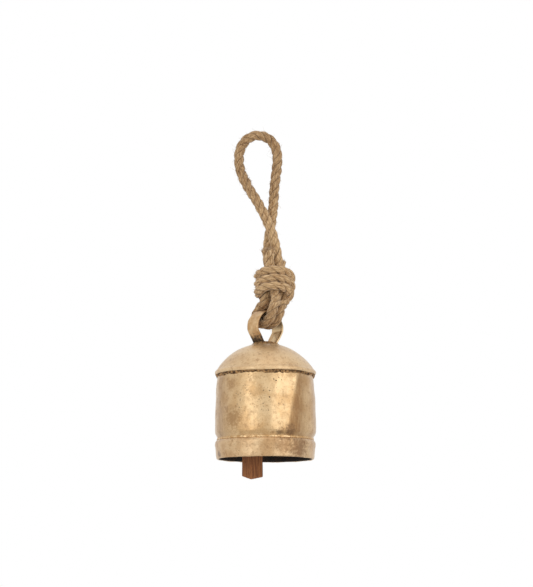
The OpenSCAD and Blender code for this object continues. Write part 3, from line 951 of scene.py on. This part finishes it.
# ---- clapper
CLAPPER_PLACE, CLAPPER_TURN = np.array([-12.7, 0, 0]), 38.5
STAPLE_Z, STAPLE_BEND_R, STAPLE_WIRE = -30, 6, 3
LINK_DROP, LINK_BEND_R, LINK_HALF_W, LINK_WIRE = 20, 3.1, 9.9, 2.5
CLAPPER_HALF, CLAPPER_TOP, CLAPPER_END, CLAPPER_SLANT, CLAPPER_SHAVE = 7.5, 6, -96.5, 18.3, 3
CLAPPER_HOLE_R = LINK_WIRE / 2 + 0.3
SIDE_POINTS = 16
TURN_COS, TURN_SIN = toward(CLAPPER_TURN)
SPIN = np.array([[TURN_COS, -TURN_SIN, 0], [TURN_SIN, TURN_COS, 0], [0, 0, 1]])


def at_clapper(points, z=0.0):
    """Points drawn about the clapper's upright, turned and put in their place on the bell."""
    return (np.asarray(points, float) + [0, 0, z]) @ SPIN.T + CLAPPER_PLACE + eye


def wire(line, level, radius, seed, closed=False, sides=14):
    """Rings of a slightly uneven wire along a flat line, where level is square to the line's plane."""
    ahead = np.roll(line, -1, 0) - np.roll(line, 1, 0) if closed else np.gradient(line, axis=0)
    heading = unit(ahead)
    side = np.cross(heading, level)
    turn_by = np.linspace(0, 2 * math.pi, sides, endpoint=False)
    rings = line[:, None, :] + radius * (np.cos(turn_by)[None, :, None] * side[:, None, :]
                                         + np.sin(turn_by)[None, :, None] * np.asarray(level, float))
    bulge = 0.05 * ripple(rings, 4, seed) + 0.03 * ripple(rings, 1.5, seed + 1)
    return rings + bulge[..., None] * (rings - line[:, None, :])


def staple_tops():
    """The heights above the staple's bend at which its left and right legs end, within the crown's wall."""
    tops = []
    for side in (-1, 1):
        foot = at_clapper([[side * STAPLE_BEND_R, 0, 0]])[0] - eye
        tops.append(float(dome_z(np.hypot(foot[0], foot[1]), CROWN_WALL / 2)) - STAPLE_Z)
    return tops


def make_staple(material):
    bend = arc((0, STAPLE_BEND_R), STAPLE_BEND_R, 180, 360, 24)
    left_top, right_top = staple_tops()
    flat = evenly([[-STAPLE_BEND_R, left_top], *bend, [STAPLE_BEND_R, right_top]], 0.7)
    line = np.stack([flat[:, 0], 0 * flat[:, 0], flat[:, 1]], 1)
    points, faces = tube(at_clapper(wire(line, (0, 1, 0), STAPLE_WIRE / 2, 81), STAPLE_Z))
    attach(new_piece("staple", points, faces, [material]), "bell", "iron_wire", "clapper_staple")


def make_staple_blobs(material):
    """The lumpy collars of braze about the staple's legs, cut off by the crown's inner face."""
    flare = [[1.6 + 3.6 * t**1.4, -4.8 + 4.8 * t] for t in np.linspace(0, 1, 14)]
    profile = evenly([[1.1, -5.2], *flare, [5.0, 0.5], [1.1, 0.5]], 0.5, closed=True)
    points, faces, count = [], [], 0
    for side, top in zip((-1, 1), staple_tops()):
        rings = lathe(profile, 40)
        swell = 1 + ripples(rings + 30 * side, (0.09, 3, 83)) + ripples(rings, (0.05, 1.4, 84))
        placed = at_clapper(rings * swell[..., None] + [side * STAPLE_BEND_R, 0, top], STAPLE_Z)
        away = np.hypot(placed[..., 0] - eye[0], placed[..., 1] - eye[1])
        placed[..., 2] = np.minimum(placed[..., 2] + 1.0, eye[2] + dome_z(away, CROWN_WALL) + 0.4)
        points.append(placed.reshape(-1, 3))
        faces += ring_faces(*rings.shape[:2], looped=True, start=count).tolist()
        count += len(points[-1])
    blobs = new_piece("staple_blobs", np.vstack(points), faces, [material])
    attach(blobs, "bell", "braze", "staple_braze")


def make_link(material):
    reach, low = LINK_HALF_W - LINK_BEND_R, LINK_BEND_R - LINK_DROP
    lean = math.degrees(math.atan(reach / (LINK_DROP - LINK_BEND_R)))
    outline = np.vstack([arc((0, 0), LINK_BEND_R, lean, 180 - lean, 10),
                         arc((-reach, low), LINK_BEND_R, 180 - lean, 270, 8),
                         arc((reach, low), LINK_BEND_R, -90, lean, 8)])
    flat = evenly(outline, 0.6, closed=True)
    line = np.stack([0 * flat[:, 0], flat[:, 0], flat[:, 1]], 1)
    rings = at_clapper(wire(line, (1, 0, 0), LINK_WIRE / 2, 86, closed=True), STAPLE_Z)
    faces = ring_faces(*rings.shape[:2], looped=True)
    attach(new_piece("link", rings.reshape(-1, 3), faces, [material]), "link", "iron_wire", "clapper_link")


def stick_rings():
    """Rings down a square stick with softened corners, shaved at its top and sawn off aslant."""
    across, ones = np.linspace(-1, 1, SIDE_POINTS + 1)[:-1], np.ones(SIDE_POINTS)
    square = np.vstack([np.stack([across, -ones], 1), np.stack([ones, across], 1),
                        np.stack([-across, ones], 1), np.stack([-ones, -across], 1)])
    corner = np.abs(square).min(1) ** 14
    square = square * (1 - 0.035 * corner)[:, None] * CLAPPER_HALF

    def top(share):
        p = square * share
        shaved = np.clip(np.abs(p[:, 1]) - (CLAPPER_HALF - CLAPPER_SHAVE), 0, None)
        return np.column_stack([p, CLAPPER_TOP - shaved])

    def end(share):
        p = square * share
        back = TURN_SIN * p[:, 0] + TURN_COS * p[:, 1]
        return np.column_stack([p, CLAPPER_END + math.tan(math.radians(CLAPPER_SLANT)) * back])

    return np.array([*(top(share) for share in [*np.linspace(0, 0.93, 10), 0.975]),
                     *(top(1) * (1 - t) + end(1) * t for t in np.linspace(0, 1, 125)[1:-1]),
                     *(end(share) for share in [0.975, *np.linspace(0.93, 0, 12)])])


def drill_hole(clapper):
    """Cuts the link's hole through the stick, with a rod that is then thrown away."""
    line = np.stack([np.zeros(30), np.linspace(-12, 12, 30), np.zeros(30)], 1)
    rod = wire(line, (1, 0, 0), CLAPPER_HOLE_R, 96, sides=28)
    drill = new_piece("drill", *tube(at_clapper(rod, STAPLE_Z - LINK_DROP)), [])
    cut = clapper.modifiers.new("hole", "BOOLEAN")
    cut.operation, cut.object, cut.solver = "DIFFERENCE", drill, "EXACT"
    graph = bpy.context.evaluated_depsgraph_get()
    bored = bpy.data.meshes.new_from_object(clapper.evaluated_get(graph))
    clapper.modifiers.clear()
    clapper.data = bored
    bpy.data.objects.remove(drill)


def make_clapper(material):
    """The stick with its grain and chips, and the hole near its top."""
    rings = stick_rings()
    grain = ripples(rings * [1, 1, 0.05], (0.16, 2.4, 91)) + ripples(rings * [1, 1, 0.12], (0.1, 1.1, 92))
    chips = 0.3 * np.clip(ripple(rings, 6, 93) - 0.45, 0, 1) + ripples(rings, (0.12, 26, 94))
    outward = unit(rings * [1, 1, 0] + [1e-6, 0, 0])
    on_side = np.abs(rings[..., :2]).max(-1) > 7
    rings = rings + ((grain - chips) * on_side)[..., None] * outward
    rings[..., 2] += ripples(rings, (0.1, 2, 95)) * (rings[..., 2] < CLAPPER_END + 8)
    points, faces = tube(at_clapper(rings, STAPLE_Z - LINK_DROP))
    clapper = new_piece("clapper_stick", points, faces, [material])
    drill_hole(clapper)
    attach(clapper, "clapper", "clapper_wood", "clapper")


# ---- finishes
# Fields of pinholes: a point and its reach. Smudges also have a colour.
front_pits = [((-16, -46, -264), 15), ((-14, -46, -274), 14), ((3, -50, -264), 13), ((6, -50, -275), 11),
              ((16, -47, -252), 10), ((18, -46, -268), 9)]
body_smudges = [((28, -41, -296), 13, paint(118, 84, 48)), ((20, -45, -298), 9, paint(122, 88, 50)),
                ((-27, -41, -285), 24, paint(168, 126, 76)), ((-30, -38, -250), 16, paint(176, 134, 84))]
band_smudges = [((37, -35, -313), 24, paint(140, 100, 60)), ((22, -44, -311), 18, paint(160, 120, 76)),
                ((-40, -18, -318), 7, paint(120, 84, 48))]

body_skin = brass("body_brass", paint(230, 197, 149), paint(205, 165, 113), paint(144, 101, 54), 0.37,
                  pits=front_pits, pit_share=0.35, speckle=0.14, smudges=body_smudges, painted_shade_and_patina=0.8)
crown_skin = brass("crown_brass", paint(232, 202, 158), paint(220, 186, 140), paint(160, 118, 72), 0.5,
                   pit_share=0.3, speckle=0.18)
band_skin = brass("band_brass", paint(226, 194, 150), paint(204, 164, 116), paint(142, 102, 60), 0.44,
                  pit_share=0.55, speckle=0.25, smudges=band_smudges)
inside_skin = soot_metal()
dark_crust = crust("dark_crust", paint(178, 136, 88), paint(62, 42, 25), 2.6)
groove_crust = crust("groove_crust", paint(228, 194, 148), paint(196, 154, 104), 4.0, 1.0, 0.34)
mound_crust = crust("mound_crust", paint(198, 158, 108), paint(112, 80, 50), 3.5, 0.6, 0.6)
iron = crust("iron_wire", paint(74, 62, 54), paint(46, 30, 22), 1.2, 0.7, 0.55)

make_body(body_skin, inside_skin)
make_crown(crown_skin, inside_skin)
make_crown_braze(dark_crust)
make_rim_braze(groove_crust)
make_band(band_skin)
make_strap(strap_metal())
make_mound(mound_crust)
make_staple(iron)
make_staple_blobs(dark_crust)
make_link(iron)
make_clapper(wood())


# ---- stage
def make_floor():
    """A very wide round floor, far enough down to be seen past from every side."""
    angles = np.linspace(0, 2 * math.pi, 96)[:-1]
    rim = [(FLOOR_R * math.cos(a), FLOOR_R * math.sin(a), FLOOR_Z) for a in angles]
    new_piece("floor", rim, [tuple(range(len(rim)))], [paper()])


def softbox(name, bearing, elevation, distance, size, power):
    """A soft light at a bearing from the front, in degrees to the right, that faces the bell."""
    light = bpy.data.lights.new(name, "AREA")
    light.shape = "RECTANGLE"
    light.size, light.size_y = size
    light.energy = power
    lamp = new_object(name, light)
    b, e = math.radians(bearing), math.radians(elevation)
    way = Vector((math.sin(b) * math.cos(e), -math.cos(b) * math.cos(e), math.sin(e)))
    lamp.location = LIGHTS_AIM + way * distance
    lamp.rotation_euler = way.to_track_quat("Z", "Y").to_euler()


def make_room():
    """White walls all round, which the camera sees at full white and the bell a little darker."""
    world = bpy.data.worlds.new("studio")
    bpy.context.scene.world = world
    nodes = Nodes(world)
    seen = nodes.add("LightPath").outputs["Is Camera Ray"]
    room, backdrop = (nodes.add("Background", {"Color": (1, 1, 1, 1), "Strength": strength}).outputs[0]
                      for strength in (ROOM_LIGHT, 1))
    either = nodes.add("MixShader", {0: seen, 1: room, 2: backdrop}).outputs[0]
    nodes.add("OutputWorld", {0: either})
    bpy.context.scene.view_settings.view_transform = "Standard"


FLOOR_Z, FLOOR_R = -2400, 40000
LIGHTS_AIM = Vector((5.7, 0, -240)) * MM
ROOM_LIGHT = 0.84

make_floor()
softbox("right_softbox", 42, 6, 1.6, (1.0, 1.9), 5)
softbox("left_softbox", -35, 6, 1.6, (0.5, 1.9), 3.4)
softbox("top_softbox", 20, 68, 1.5, (1.2, 1.2), 2)
make_room()
